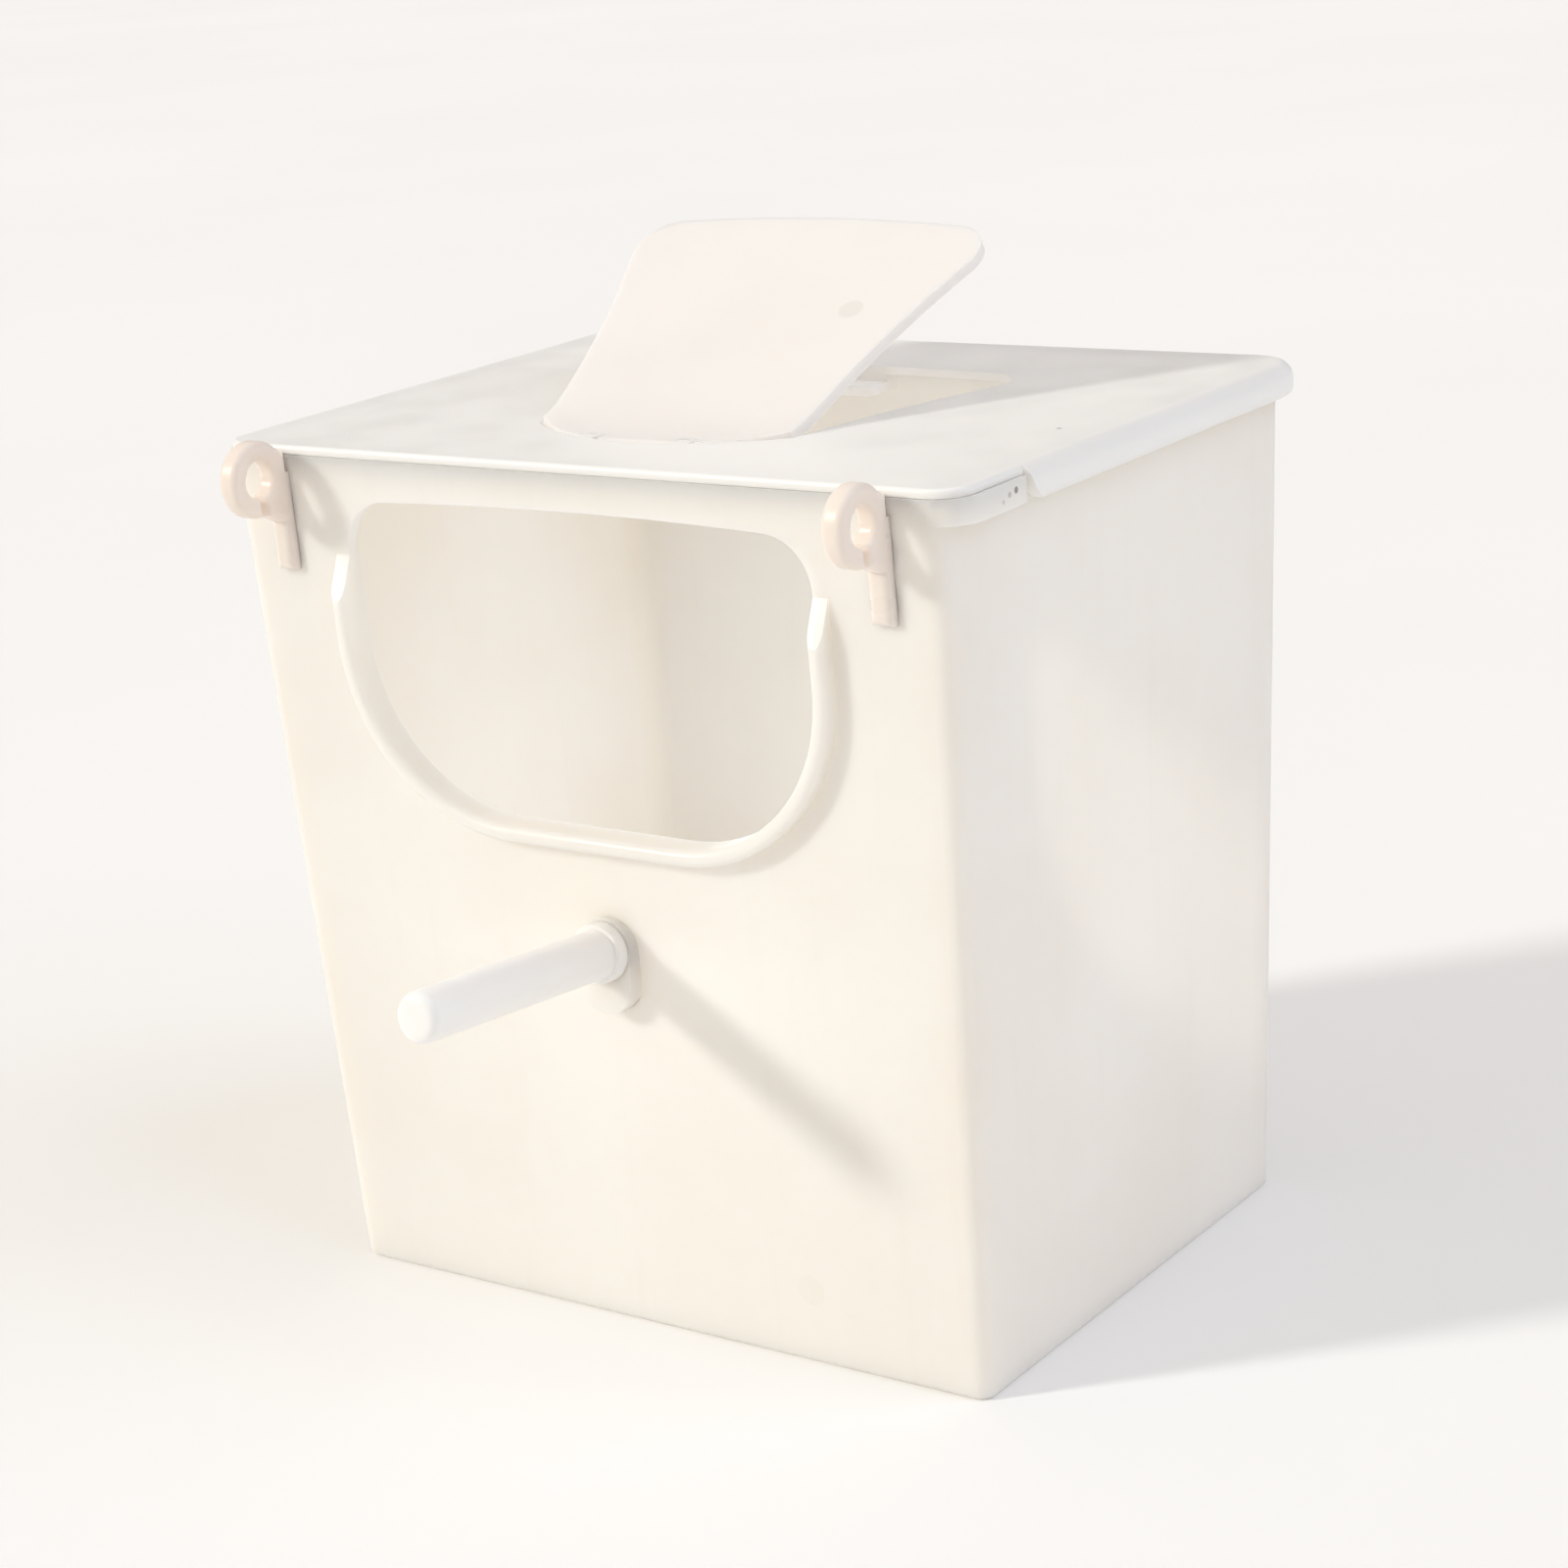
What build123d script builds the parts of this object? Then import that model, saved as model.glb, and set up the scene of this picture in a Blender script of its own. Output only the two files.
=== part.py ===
from build123d import *
import os
from math import atan2, asin, cos, degrees, hypot, radians, sin, tan

# Cage-hung bird feeder box in moulded white plastic, in millimetres.
# Origin: the middle of the base's underside. +Z up, -Y towards the cage (the entrance side).

# --- box body ---
BASE_WIDTH = 119.0
BASE_DEPTH = 88.0
BODY_HEIGHT = 133.7
DRAFT = 1.93  # degrees, every wall leans outwards
BASE_CORNER_R = 2.5
INNER_CORNER_R = 5.0
WALL = 2.0
FLOOR = 2.4
FOOT_EDGE_R = 1.0

# --- rim flange round the top of the body ---
RIM_HEIGHT = 3.7
RIM_HALF_WIDTH = 66.7  # in front of the lid's skirt
RIM_REAR_HALF_WIDTH = 65.0  # inside the lid's skirt
RIM_FRONT_Y = -48.35  # just inside the front wall's face, so the hooks lie flat
RIM_BACK_Y = 49.1
RIM_CORNER_R = 5.5

# --- entrance in the front wall, measured along the wall ---
ENTRANCE_HALF_WIDTH = 42.0
ENTRANCE_BOTTOM = 80.0
ENTRANCE_TOP = 128.3
ENTRANCE_ARCH = 1.2  # the top edge's rise from its ends to its middle
ENTRANCE_LOW_R = 26.5
ENTRANCE_HIGH_R = 8.0
BEAD_WIDTH = 2.5
BEAD_PROUD = 3.0
BEAD_EDGE_R = 1.1
BEAD_FULL = 112.5  # the bead is at its full height below this
BEAD_END = 119.0  # and has faded into the wall here

# --- perch and its socket ---
PERCH_RISE = 5.5  # degrees above level
PERCH_ROOT = (0, -46.1, 61.9)  # where its axis crosses the front wall
PERCH_R = 3.8
PERCH_LENGTH = 44.7
PERCH_TIP_R = 1.5
COLLAR_R = 4.5
COLLAR_START = 2.4
COLLAR_END = 4.4
TAIL_R = 3.0
TAIL_DEPTH = 2.2
SOCKET_CLEARANCE = 0.05
BOSS_WIDTH = 9.2
BOSS_HEIGHT = 14.6
BOSS_DROP = 2.3
BOSS_PROUD = 2.2

# --- hooks on the front wall ---
HOOK_X = 53.9
HOOK_THICKNESS = 3.6
RING_OUT = 5.8  # ring centre, out from the wall
RING_UP = 131.3
RING_R = 5.8
RING_HOLE_R = 2.8
RING_TIP_OUT = 6.1  # the ring's free tip ends this far out from the wall
HOOK_EDGE_R = 1.1
ROOT_PROUD = 5.0  # the ring's root block stands this far out from the wall
ROOT_FRONT_BOTTOM = 125.5  # its foot slants from here
ROOT_BOTTOM = 122.8  # back to here on the wall
ROOT_SHOULDER = (1.5, 135.2)  # and its top slants from here
ROOT_TOP = 134.4  # back to here on the wall
LEG_PROUD = 1.8  # the rounded leg below the root
LEG_BOTTOM = 116.2
LEG_EDGE_R = 1.2
TONGUE_WIDTH = 2.4
TONGUE_HEIGHT = 3.0
TONGUE_UPS = (119.5, 126.5)
TONGUE_CLEARANCE = 0.05
BARB_DEPTH = 0.7
BARB_LIP = 0.5

# --- lid ---
LID_GAP = 0.05
LID_THICKNESS = 1.3
LID_BOTTOM = BODY_HEIGHT + LID_GAP
LID_TOP = LID_BOTTOM + LID_THICKNESS
TONGUE_HALF_WIDTH = 66.0
LID_FRONT_Y = -48.2
LID_FRONT_CORNER_R = 5.0
LID_EDGE_R = 0.6
NOTCH_Y = -31.0  # the overhanging skirt starts here
SKIRT_THICKNESS = 2.15
SKIRT_CLEARANCE = 0.35
SKIRT_BOTTOM = 129.6
SKIRT_EDGE_R = 2.6
SKIRT_LOW_EDGE_R = 1.7
SKIRT_END_R = 5.0  # its low corner at the notch is rounded off
PLUG_DEPTH = 3.0
PLUG_THICKNESS = 1.4
PLUG_CLEARANCE = 0.45
PLUG_CORNER_R = 5.6

# --- hatch in the lid ---
HATCH_TILT = 28.3  # degrees, how far it stands open at rest
HATCH_THICKNESS = 1.8
BEND_Y = -23.2  # the hatch's flat part, carried on, meets the lid's top here
WAIST = 22.7  # half-width where the flat part begins
FLARE_MID = (25.9, 22.0)
FAR_CORNER = (34.2, 48.6)
FAR_LENGTH = 51.1
FAR_CORNER_R = 6.5
ROOT_LENGTH = 8.2  # the rounded root reaches this far in front of the waist
HATCH_CLEARANCE = 0.8
SHUT_SHIFT = 0.1  # the waist lies this much further forward when the hatch is shut
KNUCKLE_R = 1.6
HINGE_Y = -29.7
HINGE_Z = LID_TOP - KNUCKLE_R
KNUCKLE_HALF = 7.0
LUG_INNER = 7.3
LUG_OUTER = 9.8
LUG_R = 1.8
PIN_R = 0.9
PIN_CLEARANCE = 0.06
LUG_SLOT_MARGIN = 0.4
LEDGE_HALF_WIDTH = 5.0
LEDGE_THICKNESS = 1.4
LEDGE_REACH = 5.2
LEDGE_ROOT = 2.6
LEDGE_GAP = 0.3

# --- values that follow from the ones above ---
LEAN = tan(radians(DRAFT))
BOTTOM = (Align.CENTER, Align.CENTER, Align.MIN)
HATCH_PLAN_SHIFT = BEND_Y - SHUT_SHIFT  # Y of the waist when the hatch is shut


def wall_plane():
    """On the front wall's outside: X across, Y up the wall, Z out of it."""
    out = (0, -cos(radians(DRAFT)), -sin(radians(DRAFT)))
    return Plane(origin=(0, -BASE_DEPTH / 2, 0), x_dir=(1, 0, 0), z_dir=out)


def hook_plane(x):
    """Upright and square to the front wall: X out of the wall, Y up it."""
    out = (0, -cos(radians(DRAFT)), -sin(radians(DRAFT)))
    return Plane(origin=(x, -BASE_DEPTH / 2, 0), x_dir=out, z_dir=(-1, 0, 0))


def perch_plane():
    """Square to the perch's axis where it leaves the wall, Z along the perch."""
    out = (0, -cos(radians(PERCH_RISE)), sin(radians(PERCH_RISE)))
    return Plane(origin=PERCH_ROOT, x_dir=(1, 0, 0), z_dir=out)


def rounded_slab(half_width, front_y, back_y, radius, bottom, top):
    """An upright slab with a rounded rectangular plan."""
    depth = back_y - front_y
    plan = Location((0, (front_y + back_y) / 2, bottom)) * RectangleRounded(2 * half_width, depth, radius)
    return extrude(plan, top - bottom)


def all_behind(y, bottom):
    """A block that covers everything behind a Y position and above a height."""
    return Location((0, y, bottom)) * Box(2 * BASE_WIDTH, 2 * BASE_DEPTH, BODY_HEIGHT,
                                          align=(Align.CENTER, Align.MIN, Align.MIN))


def edges_at_height(solid, height):
    """The edges that lie wholly at one height."""
    return [e for e in solid.edges() if abs(e.bounding_box().min.Z - height) < 1e-3
            and abs(e.bounding_box().max.Z - height) < 1e-3]


def tapered_block(inset, radius, top):
    """The body's outer shape, moved in by inset, from the ground to a height."""
    width = BASE_WIDTH - 2 * inset
    depth = BASE_DEPTH - 2 * inset
    growth = 2 * top * LEAN
    low = RectangleRounded(width, depth, radius)
    high = Location((0, 0, top)) * RectangleRounded(width + growth, depth + growth, radius)
    return loft([low.face(), high.face()])


def entrance_sketch(margin):
    """The D-shaped entrance with its arched top on the wall plane, grown by a margin."""
    side = ENTRANCE_HALF_WIDTH + margin
    bottom = ENTRANCE_BOTTOM - margin
    crown = ENTRANCE_TOP + margin
    shoulder = crown - ENTRANCE_ARCH
    edge = [Line((-side, shoulder), (-side, bottom)), Line((-side, bottom), (side, bottom)),
            Line((side, bottom), (side, shoulder)),
            ThreePointArc((side, shoulder), (0, crown), (-side, shoulder))]
    plan = make_face(Wire(edge))
    plan = fillet(plan.vertices().sort_by(Axis.Y)[:2], ENTRANCE_LOW_R + margin)
    return fillet(plan.vertices().sort_by(Axis.Y)[-2:], ENTRANCE_HIGH_R + margin)


def entrance_bead():
    """The raised bead round the entrance's sides and bottom, fading out upwards."""
    ring = extrude(entrance_sketch(BEAD_WIDTH) - entrance_sketch(0), BEAD_PROUD + WALL / 2)
    front_edges = edges_at_height(ring, BEAD_PROUD + WALL / 2)
    ring = Location((0, 0, -WALL / 2)) * fillet(front_edges, BEAD_EDGE_R)
    reach = ENTRANCE_HALF_WIDTH + 2 * BEAD_WIDTH
    above = 2 * ENTRANCE_TOP
    fade = Plane.YZ * Polyline((BEAD_END, 0), (BEAD_FULL, BEAD_PROUD), (BEAD_FULL, 2 * BEAD_PROUD),
                               (above, 2 * BEAD_PROUD), (above, -WALL), (BEAD_END, -WALL), close=True)
    return ring - extrude(make_face(fade), reach, both=True)


def hook_tongue(up, growth):
    """One tongue of a hook, through the wall, on the hook plane."""
    deep = WALL + BARB_DEPTH + 2 * growth
    plan = Location((-deep / 2, up)) * Rectangle(deep, TONGUE_HEIGHT + 2 * growth)
    return extrude(plan, TONGUE_WIDTH / 2 + growth, both=True)


def box_body():
    """The tapered box with its rim, entrance, bead, perch socket and hook slots."""
    cavity = tapered_block(WALL, INNER_CORNER_R, BODY_HEIGHT + WALL)
    cavity = cavity - Location((0, 0, FLOOR / 2)) * Box(2 * BASE_WIDTH, 2 * BASE_DEPTH, FLOOR)
    shell = tapered_block(0, BASE_CORNER_R, BODY_HEIGHT)
    shell = fillet(edges_at_height(shell, 0), FOOT_EDGE_R)
    rim_bottom = BODY_HEIGHT - RIM_HEIGHT
    rim = rounded_slab(RIM_HALF_WIDTH, RIM_FRONT_Y, 0, RIM_CORNER_R, rim_bottom, BODY_HEIGHT)
    rim = rim - all_behind(NOTCH_Y - SKIRT_CLEARANCE, rim_bottom)
    rim = rim + rounded_slab(RIM_REAR_HALF_WIDTH, RIM_FRONT_Y, RIM_BACK_Y, RIM_CORNER_R,
                             rim_bottom, BODY_HEIGHT)
    boss_plan = Location((0, -BOSS_DROP)) * Rotation(0, 0, 90) * SlotOverall(BOSS_HEIGHT, BOSS_WIDTH)
    boss = perch_plane() * extrude(boss_plan, BOSS_PROUD) + perch_plane() * extrude(boss_plan, -WALL / 2)
    body = shell + rim + boss + wall_plane() * entrance_bead() - cavity
    body = body - wall_plane() * extrude(entrance_sketch(0), 4 * WALL, both=True)
    body = body - perch_plane() * extrude(Circle(TAIL_R + SOCKET_CLEARANCE), 4 * WALL, both=True)
    for x in (-HOOK_X, HOOK_X):
        for up in TONGUE_UPS:
            body = body - hook_plane(x) * hook_tongue(up, TONGUE_CLEARANCE)
    return body


def perch():
    """The plug-in perch: tail, collar and rounded rod."""
    tail = extrude(Circle(TAIL_R), COLLAR_START + TAIL_DEPTH)
    tail = Location((0, 0, -TAIL_DEPTH)) * tail
    collar = Location((0, 0, COLLAR_START)) * Cylinder(COLLAR_R, COLLAR_END - COLLAR_START, align=BOTTOM)
    rod = Location((0, 0, COLLAR_END)) * Cylinder(PERCH_R, PERCH_LENGTH - COLLAR_END, align=BOTTOM)
    rod = fillet(edges_at_height(rod, PERCH_LENGTH), PERCH_TIP_R)
    return perch_plane() * (tail + collar + rod)


def hook_outline():
    """A hook's outline on its plane: ring, root block with a slanted foot, wire slit between."""
    centre = Location((RING_OUT, RING_UP))
    root = make_face(Polyline((0, ROOT_BOTTOM), (ROOT_PROUD, ROOT_FRONT_BOTTOM), (ROOT_PROUD, RING_UP),
                              ROOT_SHOULDER, (0, ROOT_TOP), close=True))
    slit_middle = Location(((ROOT_PROUD + RING_TIP_OUT) / 2, RING_UP - RING_R))
    slit = slit_middle * Rectangle(RING_TIP_OUT - ROOT_PROUD, 2 * RING_R)
    return centre * Circle(RING_R) + root - centre * Circle(RING_HOLE_R) - slit


def hook_leg():
    """The rounded leg that runs down the wall from the ring's root."""
    height = RING_UP - LEG_BOTTOM
    leg = Location((LEG_PROUD / 2, LEG_BOTTOM + height / 2)) * Box(LEG_PROUD, height, HOOK_THICKNESS)
    front = leg.faces().sort_by(Axis.X)[-1]
    return fillet(front.edges(), LEG_EDGE_R)


def hook(x):
    """One wire hook: a nearly closed ring on its root and leg, with two snap tongues behind."""
    solid = extrude(hook_outline(), HOOK_THICKNESS / 2, both=True)
    solid = fillet(edges_at_height(solid, HOOK_THICKNESS / 2) + edges_at_height(solid, -HOOK_THICKNESS / 2),
                   HOOK_EDGE_R)
    solid = solid + hook_leg()
    for up in TONGUE_UPS:
        solid = solid + hook_tongue(up, 0)
        barb = Location((-WALL - BARB_DEPTH / 2 - TONGUE_CLEARANCE, up - TONGUE_HEIGHT / 2)) * Box(
            BARB_DEPTH, 2 * BARB_LIP, TONGUE_WIDTH)
        solid = solid + barb
    return hook_plane(x) * solid


def hinge_cylinder(radius, left, right):
    """A cylinder on the hatch's hinge line, between two X positions."""
    middle = Location(((left + right) / 2, HINGE_Y, HINGE_Z))
    return middle * Rotation(0, 90, 0) * Cylinder(radius, right - left)


def hatch_outline(margin):
    """The hatch's outline, flat: X across, Y from the waist towards the far end."""
    waist = WAIST + margin
    far_x = FAR_CORNER[0] + margin
    far_y = FAR_CORNER[1] + margin
    mid_x = FLARE_MID[0] + margin
    edge = [ThreePointArc((waist, 0), (mid_x, FLARE_MID[1]), (far_x, far_y)),
            ThreePointArc((far_x, far_y), (0, FAR_LENGTH + margin), (-far_x, far_y)),
            ThreePointArc((-far_x, far_y), (-mid_x, FLARE_MID[1]), (-waist, 0)),
            ThreePointArc((-waist, 0), (0, -ROOT_LENGTH - margin), (waist, 0))]
    plan = make_face(Wire(edge))
    far = plan.vertices().sort_by(Axis.Y)[-2:]
    return fillet(far, FAR_CORNER_R + margin)


def hatch_profile():
    """The hatch's section in the YZ plane: level at the root, then bent up to its tilt."""
    tilt = radians(HATCH_TILT)
    run = BEND_Y - HINGE_Y
    start = (HINGE_Y, LID_TOP)
    bend_end = (BEND_Y + run * cos(tilt), LID_TOP + run * sin(tilt))
    bend_r = run / tan(tilt / 2)
    half = (HINGE_Y + bend_r * sin(tilt / 2), LID_TOP + bend_r * (1 - cos(tilt / 2)))
    reach = FAR_LENGTH + 2
    tip = (BEND_Y + reach * cos(tilt), LID_TOP + reach * sin(tilt))
    down = (HATCH_THICKNESS * sin(tilt), -HATCH_THICKNESS * cos(tilt))
    inner_r = bend_r + HATCH_THICKNESS
    half_in = (HINGE_Y + inner_r * sin(tilt / 2), LID_TOP + bend_r - inner_r * cos(tilt / 2))
    start_in = (HINGE_Y, LID_TOP - HATCH_THICKNESS)
    bend_in = (bend_end[0] + down[0], bend_end[1] + down[1])
    tip_in = (tip[0] + down[0], tip[1] + down[1])
    edge = [ThreePointArc(start, half, bend_end), Line(bend_end, tip), Line(tip, tip_in),
            Line(tip_in, bend_in), ThreePointArc(bend_in, half_in, start_in), Line(start_in, start)]
    return Plane.YZ * make_face(Wire(edge))


def hatch():
    """The hatch, standing open, with its hinge knuckle and two stub pins."""
    plate = extrude(hatch_profile(), 2 * WAIST, both=True)
    tilted = Plane(origin=(0, BEND_Y, LID_TOP), x_dir=(1, 0, 0),
                   z_dir=(0, -sin(radians(HATCH_TILT)), cos(radians(HATCH_TILT))))
    fan = tilted * extrude(hatch_outline(0), ROOT_LENGTH, both=True)
    root = Location((0, BEND_Y, LID_TOP)) * extrude(hatch_outline(0), 3 * KNUCKLE_R, both=True)
    behind = Location((0, BEND_Y + FAR_LENGTH, LID_TOP)) * Box(4 * WAIST, 2 * FAR_LENGTH, 2 * FAR_LENGTH)
    plate = plate & (fan & behind) + (plate & (root - behind))
    slot_r = LUG_R + LUG_SLOT_MARGIN
    slot_inner = LUG_INNER - LUG_SLOT_MARGIN
    slot_outer = LUG_OUTER + LUG_SLOT_MARGIN
    plate = plate - hinge_cylinder(slot_r, slot_inner, slot_outer)
    plate = plate - hinge_cylinder(slot_r, -slot_outer, -slot_inner)
    knuckle = hinge_cylinder(KNUCKLE_R, -KNUCKLE_HALF, KNUCKLE_HALF)
    pins = hinge_cylinder(PIN_R, -LUG_OUTER, LUG_OUTER)
    return plate + knuckle + pins


def lid():
    """The lid: flat plate, skirt over the rim behind the notch, plug rib, hatch hole, hinge lugs."""
    inner_half = RIM_REAR_HALF_WIDTH + SKIRT_CLEARANCE
    inner_back = RIM_BACK_Y + SKIRT_CLEARANCE
    inner_r = RIM_CORNER_R + SKIRT_CLEARANCE
    rear = rounded_slab(inner_half + SKIRT_THICKNESS, RIM_FRONT_Y, inner_back + SKIRT_THICKNESS,
                        inner_r + SKIRT_THICKNESS, SKIRT_BOTTOM, LID_TOP)
    rear = fillet(edges_at_height(rear, LID_TOP), SKIRT_EDGE_R)
    rear = fillet(edges_at_height(rear, SKIRT_BOTTOM), SKIRT_LOW_EDGE_R)
    rear = rear - rounded_slab(inner_half, 2 * RIM_FRONT_Y, inner_back, inner_r, SKIRT_BOTTOM, LID_BOTTOM)
    behind_notch = all_behind(NOTCH_Y, SKIRT_BOTTOM)
    corner = behind_notch.edges().filter_by(Axis.X).sort_by(Axis.Z)[:2].sort_by(Axis.Y)[:1]
    rear = rear & fillet(corner, SKIRT_END_R)
    front = rounded_slab(TONGUE_HALF_WIDTH, LID_FRONT_Y, 0, LID_FRONT_CORNER_R, LID_BOTTOM, LID_TOP)
    front = fillet(edges_at_height(front, LID_TOP), LID_EDGE_R)
    hole = Location((0, HATCH_PLAN_SHIFT, LID_TOP)) * extrude(hatch_outline(HATCH_CLEARANCE), 8 * KNUCKLE_R,
                                                             both=True)
    solid = rear + front + plug_rib() - hole
    for side in (-1, 1):
        solid = solid + hinge_lug(side)
    return solid - hinge_cylinder(PIN_R + PIN_CLEARANCE, -LUG_OUTER, LUG_OUTER) + catch_ledge()


def plug_rib():
    """The rib under the lid that drops inside the body's walls."""
    bottom = LID_BOTTOM - PLUG_DEPTH
    half_width = BASE_WIDTH / 2 - WALL + bottom * LEAN - PLUG_CLEARANCE
    half_depth = BASE_DEPTH / 2 - WALL + bottom * LEAN - PLUG_CLEARANCE
    rib = rounded_slab(half_width, -half_depth, half_depth, PLUG_CORNER_R, bottom, LID_BOTTOM)
    return rib - rounded_slab(half_width - PLUG_THICKNESS, PLUG_THICKNESS - half_depth,
                              half_depth - PLUG_THICKNESS, PLUG_CORNER_R - PLUG_THICKNESS,
                              bottom, LID_BOTTOM)


def hinge_lug(side):
    """One hinge lug, reaching from under the lid's plate to the pin."""
    middle = side * (LUG_INNER + LUG_OUTER) / 2
    width = LUG_OUTER - LUG_INNER
    eye = hinge_cylinder(LUG_R, middle - width / 2, middle + width / 2)
    arm_length = 2 * LUG_R
    arm = Location((middle, HINGE_Y - arm_length / 2, HINGE_Z)) * Box(width, arm_length, 2 * LUG_R)
    above_lid = Location((middle, HINGE_Y, LID_TOP + LUG_R)) * Box(2 * width, 4 * LUG_R, 2 * LUG_R)
    return eye + arm - above_lid


def shut_drop():
    """How far the shut hatch's underside lies below the lid's top at the ledge's front."""
    tilt = radians(HATCH_TILT)
    along = FAR_LENGTH - LEDGE_REACH - LEDGE_THICKNESS
    rest_y = BEND_Y + along * cos(tilt) + HATCH_THICKNESS * sin(tilt) - HINGE_Y
    rest_z = LID_TOP + along * sin(tilt) - HATCH_THICKNESS * cos(tilt) - HINGE_Z
    angle = atan2(rest_z, rest_y) - radians(shut_angle())
    return LID_TOP - HINGE_Z - hypot(rest_y, rest_z) * sin(angle)


def shut_angle():
    """Degrees from rest to shut, with the far edge level with the lid's top."""
    tilt = radians(HATCH_TILT)
    far_y = BEND_Y + FAR_LENGTH * cos(tilt) - HINGE_Y
    far_z = LID_TOP + FAR_LENGTH * sin(tilt) - HINGE_Z
    return degrees(atan2(far_z, far_y) - asin((LID_TOP - HINGE_Z) / hypot(far_y, far_z)))


def catch_ledge():
    """The small ledge under the hatch hole's rear edge that the shut hatch rests on."""
    hole_back = HATCH_PLAN_SHIFT + FAR_LENGTH + HATCH_CLEARANCE
    top = LID_TOP - shut_drop() - LEDGE_GAP
    bottom = top - LEDGE_THICKNESS
    width = 2 * LEDGE_HALF_WIDTH
    length = LEDGE_REACH + LEDGE_ROOT
    shelf = Location((0, hole_back + LEDGE_ROOT - length / 2, bottom)) * Box(width, length, top - bottom,
                                                                            align=BOTTOM)
    web_top = (LID_BOTTOM + LID_TOP) / 2
    web = Location((0, hole_back + LEDGE_ROOT / 2, bottom)) * Box(width, LEDGE_ROOT, web_top - bottom,
                                                                 align=BOTTOM)
    return shelf + web


PARTS = {
    "box_body": box_body,
    "lid": lid,
    "hatch_flap": hatch,
    "perch": perch,
    "hook_left": lambda: hook(-HOOK_X),
    "hook_right": lambda: hook(HOOK_X),
}

os.makedirs("parts", exist_ok=True)
for node, make in PARTS.items():
    export_step(make(), "parts/" + node + ".step")
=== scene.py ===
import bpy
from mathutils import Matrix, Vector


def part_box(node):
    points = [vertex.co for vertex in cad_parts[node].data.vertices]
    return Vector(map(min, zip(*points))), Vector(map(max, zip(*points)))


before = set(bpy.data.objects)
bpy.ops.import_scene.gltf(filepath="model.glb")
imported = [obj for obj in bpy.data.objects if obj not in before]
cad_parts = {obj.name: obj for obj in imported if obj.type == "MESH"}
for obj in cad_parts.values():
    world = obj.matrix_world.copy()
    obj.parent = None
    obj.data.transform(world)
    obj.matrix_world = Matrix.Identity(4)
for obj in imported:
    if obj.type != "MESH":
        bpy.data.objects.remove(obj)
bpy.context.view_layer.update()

import math

import bpy
from mathutils import Matrix, Vector

MM = 0.001
EDGE_SOFTNESS = 0.1 * MM
TUB_DEPTH = 5.0 * MM  # how deep light travels in the tub's plastic

# --- camera: where the viewer stands, in metres in the part's frame ---
CAMERA_AT = Vector((0.3092, -0.4242, 0.2306))
CAMERA_RIGHT = Vector((0.8185, 0.5697, -0.0741))
CAMERA_UP = Vector((-0.1056, 0.2759, 0.9554))
CAMERA_LENS = 80.2
SENSOR = 36.0
CLIP_NEAR = 0.01
CLIP_FAR = 20.0

# --- light ---
SUN_TRAVEL = Vector((0.615, 0.643, -0.456))
SUN_STRENGTH = 1.56
SUN_SOFTNESS = math.radians(7)
SUN_COLOUR = (1.0, 0.985, 0.91)
SIDE_TRAVEL = Vector((-0.72, -0.12, -0.68))
SIDE_STRENGTH = 0.53
SIDE_SOFTNESS = math.radians(50)
SIDE_COLOUR = (1.0, 1.2, 1.55)
SKY_COLOUR = (1.0, 0.925, 0.845)
SKY_AT_HORIZON = 0.17
SKY_OVERHEAD = 0.87
FLOOR_GLOW = 0.05
FILL_RADIUS = 0.025
FILL_POWER = 0.031
FILL_COLOUR = (1.0, 1.12, 1.28)
BOUNCES = 16

# --- floor ---
FLOOR_SIZE = 40.0
FLOOR_DARK = (0.90, 0.90, 0.90, 1)
FLOOR_PALE = (0.92, 0.92, 0.92, 1)
FLOOR_CLOUD_SCALE = 3.0
FLOOR_ROUGHNESS = 0.9
FLOOR_SHINE = 0.1

# --- plastic ---
CLOUD_SCALE = 28.0
CLOUD_RANGE = (0.35, 0.7)  # the part of the noise that turns one colour into the other
FLOW_STRETCH = (260.0, 260.0, 9.0)  # fine across the flow, long along it
STREAK_SHADE = 0.86
STREAK_RANGE = (0.52, 0.74)
ROUGHNESS_SCALE = 90.0
EVEN_RANGE = (0.3, 0.7)
ROUGHNESS_BELOW = 0.05
ROUGHNESS_ABOVE = 0.06
FINE_SCALE = 1500.0
FINE_HEIGHT = 0.05
SINK_SCALE = 45.0
SINK_HEIGHT = 0.9
FLOW_HEIGHT = 0.08
BUMP_STRENGTH = 0.25
BUMP_DEPTH = 0.35 * MM
BEVEL_SAMPLES = 4
PLASTIC_IOR = 1.49
PLASTIC_SHINE = 0.35
SUBSURFACE_RADIUS = (1.0, 0.95, 0.88)
THIN_DEPTH = 2.0 * MM
TUB_STREAKS = 0.10


def linear(srgb):
    """An 0-255 screen colour as linear red, green, blue and full alpha."""
    values = [c / 255 for c in srgb]
    return tuple(c / 12.92 if c <= 0.04045 else ((c + 0.055) / 1.055) ** 2.4 for c in values) + (1.0,)


# ---------------------------------------------------------------- materials


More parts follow.
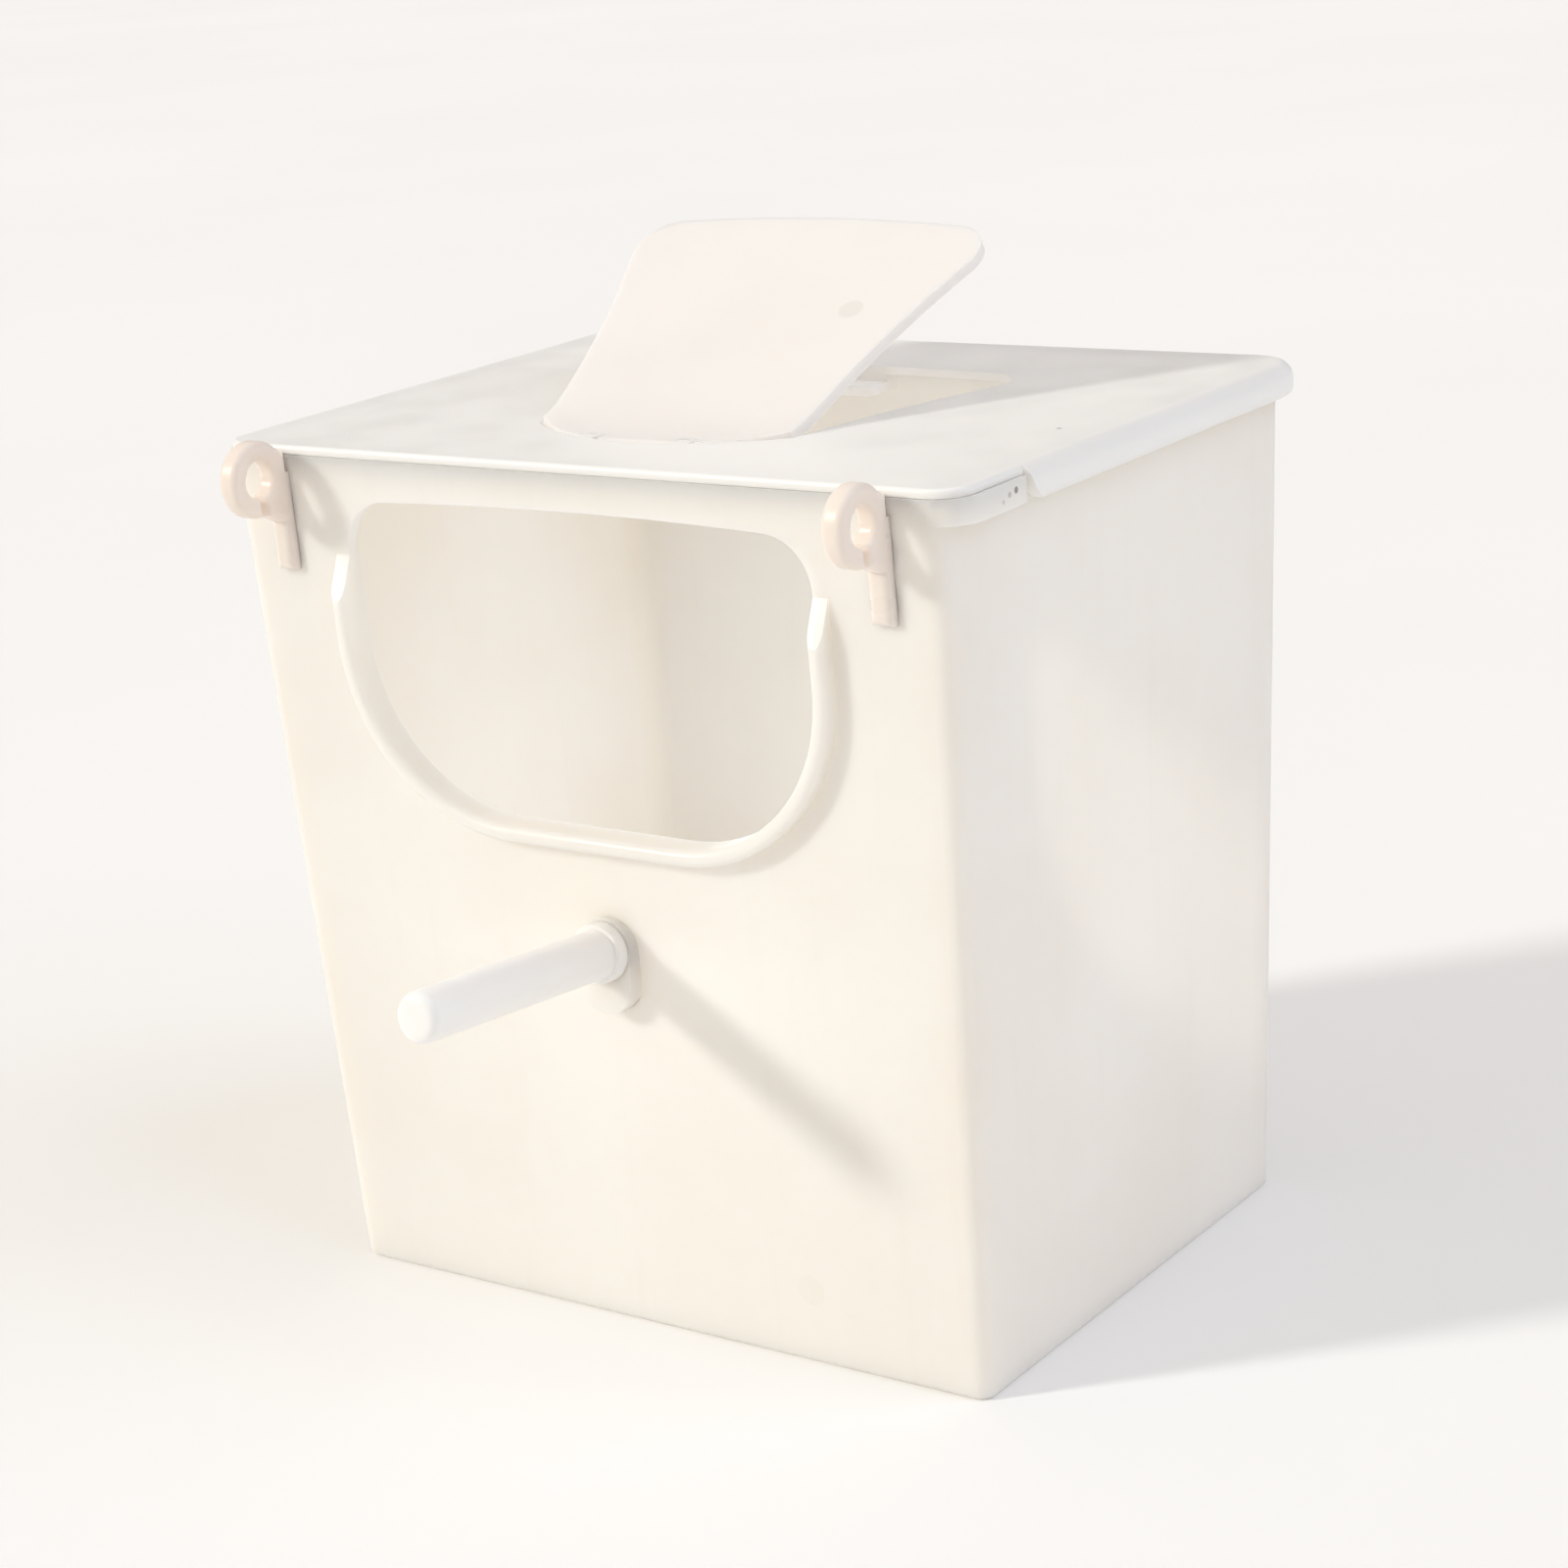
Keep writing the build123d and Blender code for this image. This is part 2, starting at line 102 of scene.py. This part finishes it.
class Nodes:
    """A small helper that adds and joins shader nodes in one material."""

    def __init__(self, name):
        self.material = bpy.data.materials.new(name)
        self.material.use_nodes = True
        self.tree = self.material.node_tree
        self.shader = self.tree.nodes["Principled BSDF"]

    def add(self, kind, **settings):
        node = self.tree.nodes.new(kind)
        for key, value in settings.items():
            setattr(node, key, value)
        return node

    def join(self, output, socket):
        self.tree.links.new(output, socket)

    def position(self):
        """The point on the object, in metres in the part's frame."""
        return self.add("ShaderNodeTexCoord").outputs["Object"]

    def stretched(self, vector, scale):
        """Coordinates squeezed or stretched along each axis."""
        mapping = self.add("ShaderNodeMapping")
        mapping.inputs["Scale"].default_value = scale
        self.join(vector, mapping.inputs["Vector"])
        return mapping.outputs["Vector"]

    def noise(self, vector, scale, detail=3.0, roughness=0.5):
        node = self.add("ShaderNodeTexNoise")
        node.inputs["Scale"].default_value = scale
        node.inputs["Detail"].default_value = detail
        node.inputs["Roughness"].default_value = roughness
        self.join(vector, node.inputs["Vector"])
        return node.outputs["Fac"]

    def math(self, operation, first, second=None):
        node = self.add("ShaderNodeMath", operation=operation)
        for socket, value in zip(node.inputs, (first, second)):
            if value is None:
                continue
            if isinstance(value, (int, float)):
                socket.default_value = value
            else:
                self.join(value, socket)
        return node.outputs[0]

    def ramp(self, value, low, high, start=0.0, end=1.0):
        """value between low and high becomes start to end, held outside."""
        node = self.add("ShaderNodeMapRange", interpolation_type="SMOOTHSTEP")
        for socket, number in zip(node.inputs[1:5], (low, high, start, end)):
            socket.default_value = number
        self.join(value, node.inputs["Value"])
        return node.outputs["Result"]

    def blend(self, factor, colour_a, colour_b):
        node = self.add("ShaderNodeMix", data_type="RGBA")
        self.join(factor, node.inputs["Factor"])
        for socket, value in zip((node.inputs["A"], node.inputs["B"]), (colour_a, colour_b)):
            if isinstance(value, tuple):
                socket.default_value = value
            else:
                self.join(value, socket)
        return node.outputs["Result"]


def near_spot(nodes, position, centre, radius, softness):
    """1 inside a small ball round a point, 0 outside."""
    offset = nodes.add("ShaderNodeVectorMath", operation="DISTANCE")
    nodes.join(position, offset.inputs[0])
    offset.inputs[1].default_value = centre
    return nodes.ramp(offset.outputs["Value"], radius, radius + softness, 1.0, 0.0)


def plastic_colour(nodes, place, flow, base, cloud, spots, streaks):
    """Faint clouds between two colours, flow streaks, and marks.

    Each mark in spots is its centre, radius, soft edge, strength and screen colour.
    """
    clouds = nodes.ramp(nodes.noise(place, CLOUD_SCALE, 4.0), *CLOUD_RANGE)
    colour = nodes.blend(clouds, linear(base), linear(cloud))
    if streaks:
        streak = nodes.ramp(flow, *STREAK_RANGE, 0.0, streaks)
        shade = tuple(c * STREAK_SHADE for c in linear(base)[:3]) + (1.0,)
        colour = nodes.blend(streak, colour, shade)
    for centre, radius, softness, strength, tint in spots:
        mask = nodes.math("MULTIPLY", near_spot(nodes, place, centre, radius, softness), strength)
        colour = nodes.blend(mask, colour, linear(tint))
    return colour


def plastic_height(nodes, place, flow):
    """A fine mould texture, slow sink marks and the flow's lines, as one height."""
    fine = nodes.math("MULTIPLY", nodes.noise(place, FINE_SCALE, 2.0), FINE_HEIGHT)
    sink = nodes.math("MULTIPLY", nodes.noise(place, SINK_SCALE, 2.0), SINK_HEIGHT)
    lines = nodes.math("MULTIPLY", flow, FLOW_HEIGHT)
    return nodes.math("ADD", nodes.math("ADD", fine, sink), lines)


def add_bump(nodes, height):
    """Softens sharp edges slightly and adds the height as a weak bump."""
    bevel = nodes.add("ShaderNodeBevel", samples=BEVEL_SAMPLES)
    bevel.inputs["Radius"].default_value = EDGE_SOFTNESS
    bump = nodes.add("ShaderNodeBump")
    bump.inputs["Strength"].default_value = BUMP_STRENGTH
    bump.inputs["Distance"].default_value = BUMP_DEPTH
    nodes.join(height, bump.inputs["Height"])
    nodes.join(bevel.outputs["Normal"], bump.inputs["Normal"])
    nodes.join(bump.outputs["Normal"], nodes.shader.inputs["Normal"])


def moulded_plastic(name, base, cloud, roughness, spots=(), streaks=0.0, depth=THIN_DEPTH, milky=1.0):
    """Pale polypropylene; milky is how much of its light travels inside it."""
    nodes = Nodes(name)
    place = nodes.position()
    flow = nodes.noise(nodes.stretched(place, FLOW_STRETCH), 1.0, 4.0, 0.6)
    colour = plastic_colour(nodes, place, flow, base, cloud, spots, streaks)
    nodes.join(colour, nodes.shader.inputs["Base Color"])
    smoothest = roughness - ROUGHNESS_BELOW
    roughest = roughness + ROUGHNESS_ABOVE
    rough = nodes.ramp(nodes.noise(place, ROUGHNESS_SCALE, 3.0), *EVEN_RANGE, smoothest, roughest)
    nodes.join(rough, nodes.shader.inputs["Roughness"])
    add_bump(nodes, plastic_height(nodes, place, flow))
    nodes.shader.inputs["IOR"].default_value = PLASTIC_IOR
    nodes.shader.inputs["Specular IOR Level"].default_value = PLASTIC_SHINE
    nodes.shader.inputs["Subsurface Weight"].default_value = milky
    nodes.shader.inputs["Subsurface Radius"].default_value = SUBSURFACE_RADIUS
    nodes.shader.inputs["Subsurface Scale"].default_value = depth
    return nodes.material


def dress(node, material):
    """Puts one material on every slot of a CAD node."""
    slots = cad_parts[node].material_slots
    for slot in slots:
        slot.material = material


# ---------------------------------------------------------------- the pieces


def dress_tub():
    """The tub: an ejector mark low on its front and three specks on the rim's side."""
    ejector = (0.030, -0.0442, 0.012)
    spots = [(ejector, 2.2 * MM, 0.4 * MM, 0.10, (214, 204, 188)),
             ((0.0667, -0.0341, 0.1323), 0.35 * MM, 0.25 * MM, 0.8, (120, 116, 112)),
             ((0.0667, -0.0358, 0.1320), 0.25 * MM, 0.3 * MM, 0.5, (140, 136, 130)),
             ((0.0667, -0.0374, 0.1313), 0.2 * MM, 0.25 * MM, 0.35, (150, 146, 140))]
    material = moulded_plastic("tub_plastic", (240, 236, 230), (237, 232, 225), 0.38, spots,
                               TUB_STREAKS, TUB_DEPTH)
    dress("box_body", material)


def dress_lid():
    """The lid, a little whiter than the tub, with one speck."""
    spots = [((0.0582, -0.0081, 0.1350), 0.3 * MM, 0.2 * MM, 0.7, (150, 146, 140))]
    material = moulded_plastic("lid_plastic", (253, 252, 249), (251, 250, 247), 0.36, spots, milky=0.3)
    dress("lid", material)


def dress_hatch():
    """The hatch, with a faint round mark to the right of its middle."""
    spots = [((0.0169, 0.0026, 0.1487), 1.85 * MM, 0.35 * MM, 0.22, (205, 202, 196))]
    material = moulded_plastic("hatch_plastic", (239, 236, 234), (236, 233, 231), 0.36, spots)
    dress("hatch_flap", material)


def dress_perch():
    """The perch, the whitest piece."""
    material = moulded_plastic("perch_plastic", (254, 253, 251), (252, 250, 247), 0.34, milky=0.4)
    dress("perch", material)


def dress_hooks():
    """Both hooks, warmer than the tub."""
    material = moulded_plastic("hook_plastic", (244, 233, 224), (241, 229, 219), 0.32, milky=0.5)
    dress("hook_left", material)
    dress("hook_right", material)


# ---------------------------------------------------------------- studio


def add_floor():
    """A wide pale floor with a faint uneven tone."""
    bpy.ops.mesh.primitive_plane_add(size=FLOOR_SIZE, location=(0, 0, 0))
    floor = bpy.context.object
    floor.name = "floor"
    nodes = Nodes("floor_paper")
    tone = nodes.ramp(nodes.noise(nodes.position(), FLOOR_CLOUD_SCALE), *EVEN_RANGE)
    nodes.join(nodes.blend(tone, FLOOR_DARK, FLOOR_PALE), nodes.shader.inputs["Base Color"])
    nodes.shader.inputs["Roughness"].default_value = FLOOR_ROUGHNESS
    nodes.shader.inputs["Specular IOR Level"].default_value = FLOOR_SHINE
    nodes.shader.inputs["Emission Color"].default_value = (1, 1, 1, 1)
    nodes.shader.inputs["Emission Strength"].default_value = FLOOR_GLOW
    floor.data.materials.append(nodes.material)


def add_world():
    """Soft warm light from all round, stronger from above."""
    world = bpy.data.worlds.new("studio")
    bpy.context.scene.world = world
    world.use_nodes = True
    tree = world.node_tree
    direction = tree.nodes.new("ShaderNodeTexCoord")
    split = tree.nodes.new("ShaderNodeSeparateXYZ")
    grade = tree.nodes.new("ShaderNodeMapRange")
    grade.inputs["To Min"].default_value = SKY_AT_HORIZON
    grade.inputs["To Max"].default_value = SKY_OVERHEAD
    background = tree.nodes["Background"]
    background.inputs["Color"].default_value = SKY_COLOUR + (1.0,)
    tree.links.new(direction.outputs["Generated"], split.inputs["Vector"])
    tree.links.new(split.outputs["Z"], grade.inputs["Value"])
    tree.links.new(grade.outputs["Result"], background.inputs["Strength"])


def add_fill():
    """A weak hidden lamp inside the box, which stands in for light let in by thin plastic."""
    low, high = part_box("box_body")
    light = bpy.data.lights.new("fill", "POINT")
    light.energy = FILL_POWER
    light.shadow_soft_size = FILL_RADIUS
    light.color = FILL_COLOUR
    lamp = bpy.data.objects.new("fill", light)
    lamp.location = (0, 0, (low[2] + high[2]) / 2)
    lamp.visible_camera = False
    bpy.context.collection.objects.link(lamp)


def set_bounces():
    """Enough light bounces for the inside of a white box."""
    cycles = bpy.context.scene.cycles
    cycles.max_bounces = BOUNCES
    cycles.diffuse_bounces = BOUNCES


def add_sun(name, travel, strength, softness, colour):
    """A distant lamp whose light travels one way."""
    light = bpy.data.lights.new(name, "SUN")
    light.energy = strength
    light.angle = softness
    light.color = colour
    sun = bpy.data.objects.new(name, light)
    sun.rotation_euler = travel.to_track_quat("-Z", "Y").to_euler()
    bpy.context.collection.objects.link(sun)


def add_camera():
    """The camera at the viewer's place, square to the given right and up directions."""
    data = bpy.data.cameras.new("camera")
    data.lens = CAMERA_LENS
    data.sensor_width = SENSOR
    data.clip_start = CLIP_NEAR
    data.clip_end = CLIP_FAR
    camera = bpy.data.objects.new("camera", data)
    back = CAMERA_RIGHT.cross(CAMERA_UP)
    turn = Matrix((CAMERA_RIGHT, CAMERA_UP, back)).transposed()
    camera.matrix_world = Matrix.Translation(CAMERA_AT) @ turn.to_4x4()
    bpy.context.collection.objects.link(camera)
    bpy.context.scene.camera = camera


def set_colour_handling():
    """Plain screen colours, as a shop photograph has."""
    view = bpy.context.scene.view_settings
    view.view_transform = "Standard"
    view.look = "None"
    view.exposure = 0.0
    view.gamma = 1.0


dress_tub()
dress_lid()
dress_hatch()
dress_perch()
dress_hooks()
add_floor()
add_world()
add_fill()
add_sun("key", SUN_TRAVEL, SUN_STRENGTH, SUN_SOFTNESS, SUN_COLOUR)
add_sun("side", SIDE_TRAVEL, SIDE_STRENGTH, SIDE_SOFTNESS, SIDE_COLOUR)
set_bounces()
add_camera()
set_colour_handling()
